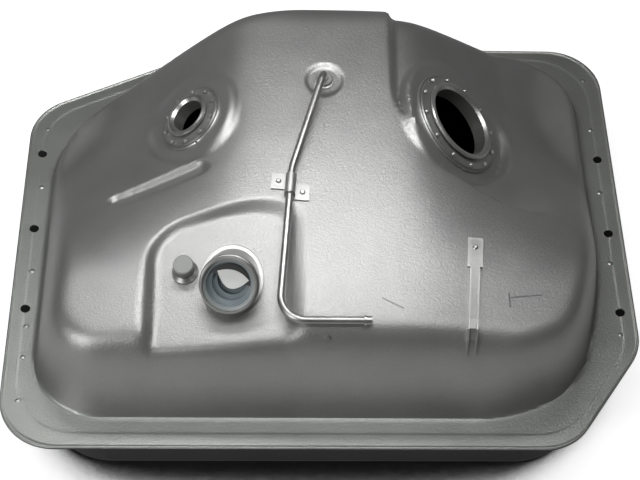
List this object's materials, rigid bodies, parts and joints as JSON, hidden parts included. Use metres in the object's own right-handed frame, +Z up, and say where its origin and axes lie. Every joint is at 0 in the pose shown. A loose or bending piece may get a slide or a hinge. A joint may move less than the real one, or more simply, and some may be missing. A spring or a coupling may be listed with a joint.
{
  "type": "car fuel tank",
  "caption": "Two-shell pressed steel car fuel tank with bolting flange, two ringed openings, filler neck, breather pipe and drain",
  "frame": {"origin": "middle of the tank's outline at the level of its underside, on the floor that the tank stands on", "axes": "+X to the pump opening's side, +Y to the rear of the tank, +Z up; the flange is level"},
  "size_m": [0.7, 0.564, 0.2888],
  "materials": {
    "tank_steel": "satin silver-grey paint",
    "black_underside": "satin black paint",
    "bright_steel": "zinc plated",
    "inner_steel": "bare steel",
    "grey_plastic": "moulded",
    "pale_plastic": "moulded",
    "fibre_washer": "pressed fibre"
  },
  "bodies": {
    "root": {"upper_shell": "tank_steel", "lower_shell": "black_underside", "pump_collar": "tank_steel", "pump_lip_ring": "bright_steel", "pump_studs": "bright_steel", "sender_collar": "tank_steel", "sender_lip_ring": "bright_steel", "sender_studs": "bright_steel", "filler_neck": "bright_steel", "filler_neck_collar": "tank_steel", "filler_neck_sleeve": "grey_plastic", "filler_flap": "pale_plastic", "return_stub": "tank_steel", "stub_plug": "pale_plastic", "breather_pipe": "bright_steel", "pipe_union": "bright_steel", "pipe_clamp": "bright_steel", "clamp_rivets": "bright_steel", "hose_clip": "bright_steel", "clip_spot_weld": "bright_steel", "locating_stud": "bright_steel", "flange_weld_dots": "tank_steel", "left_baffle": "inner_steel", "right_baffle": "inner_steel", "swirl_pot": "inner_steel", "drain_boss": "bright_steel", "drain_washer": "fibre_washer", "drain_plug": "bright_steel"}
  },
  "joints": []
}
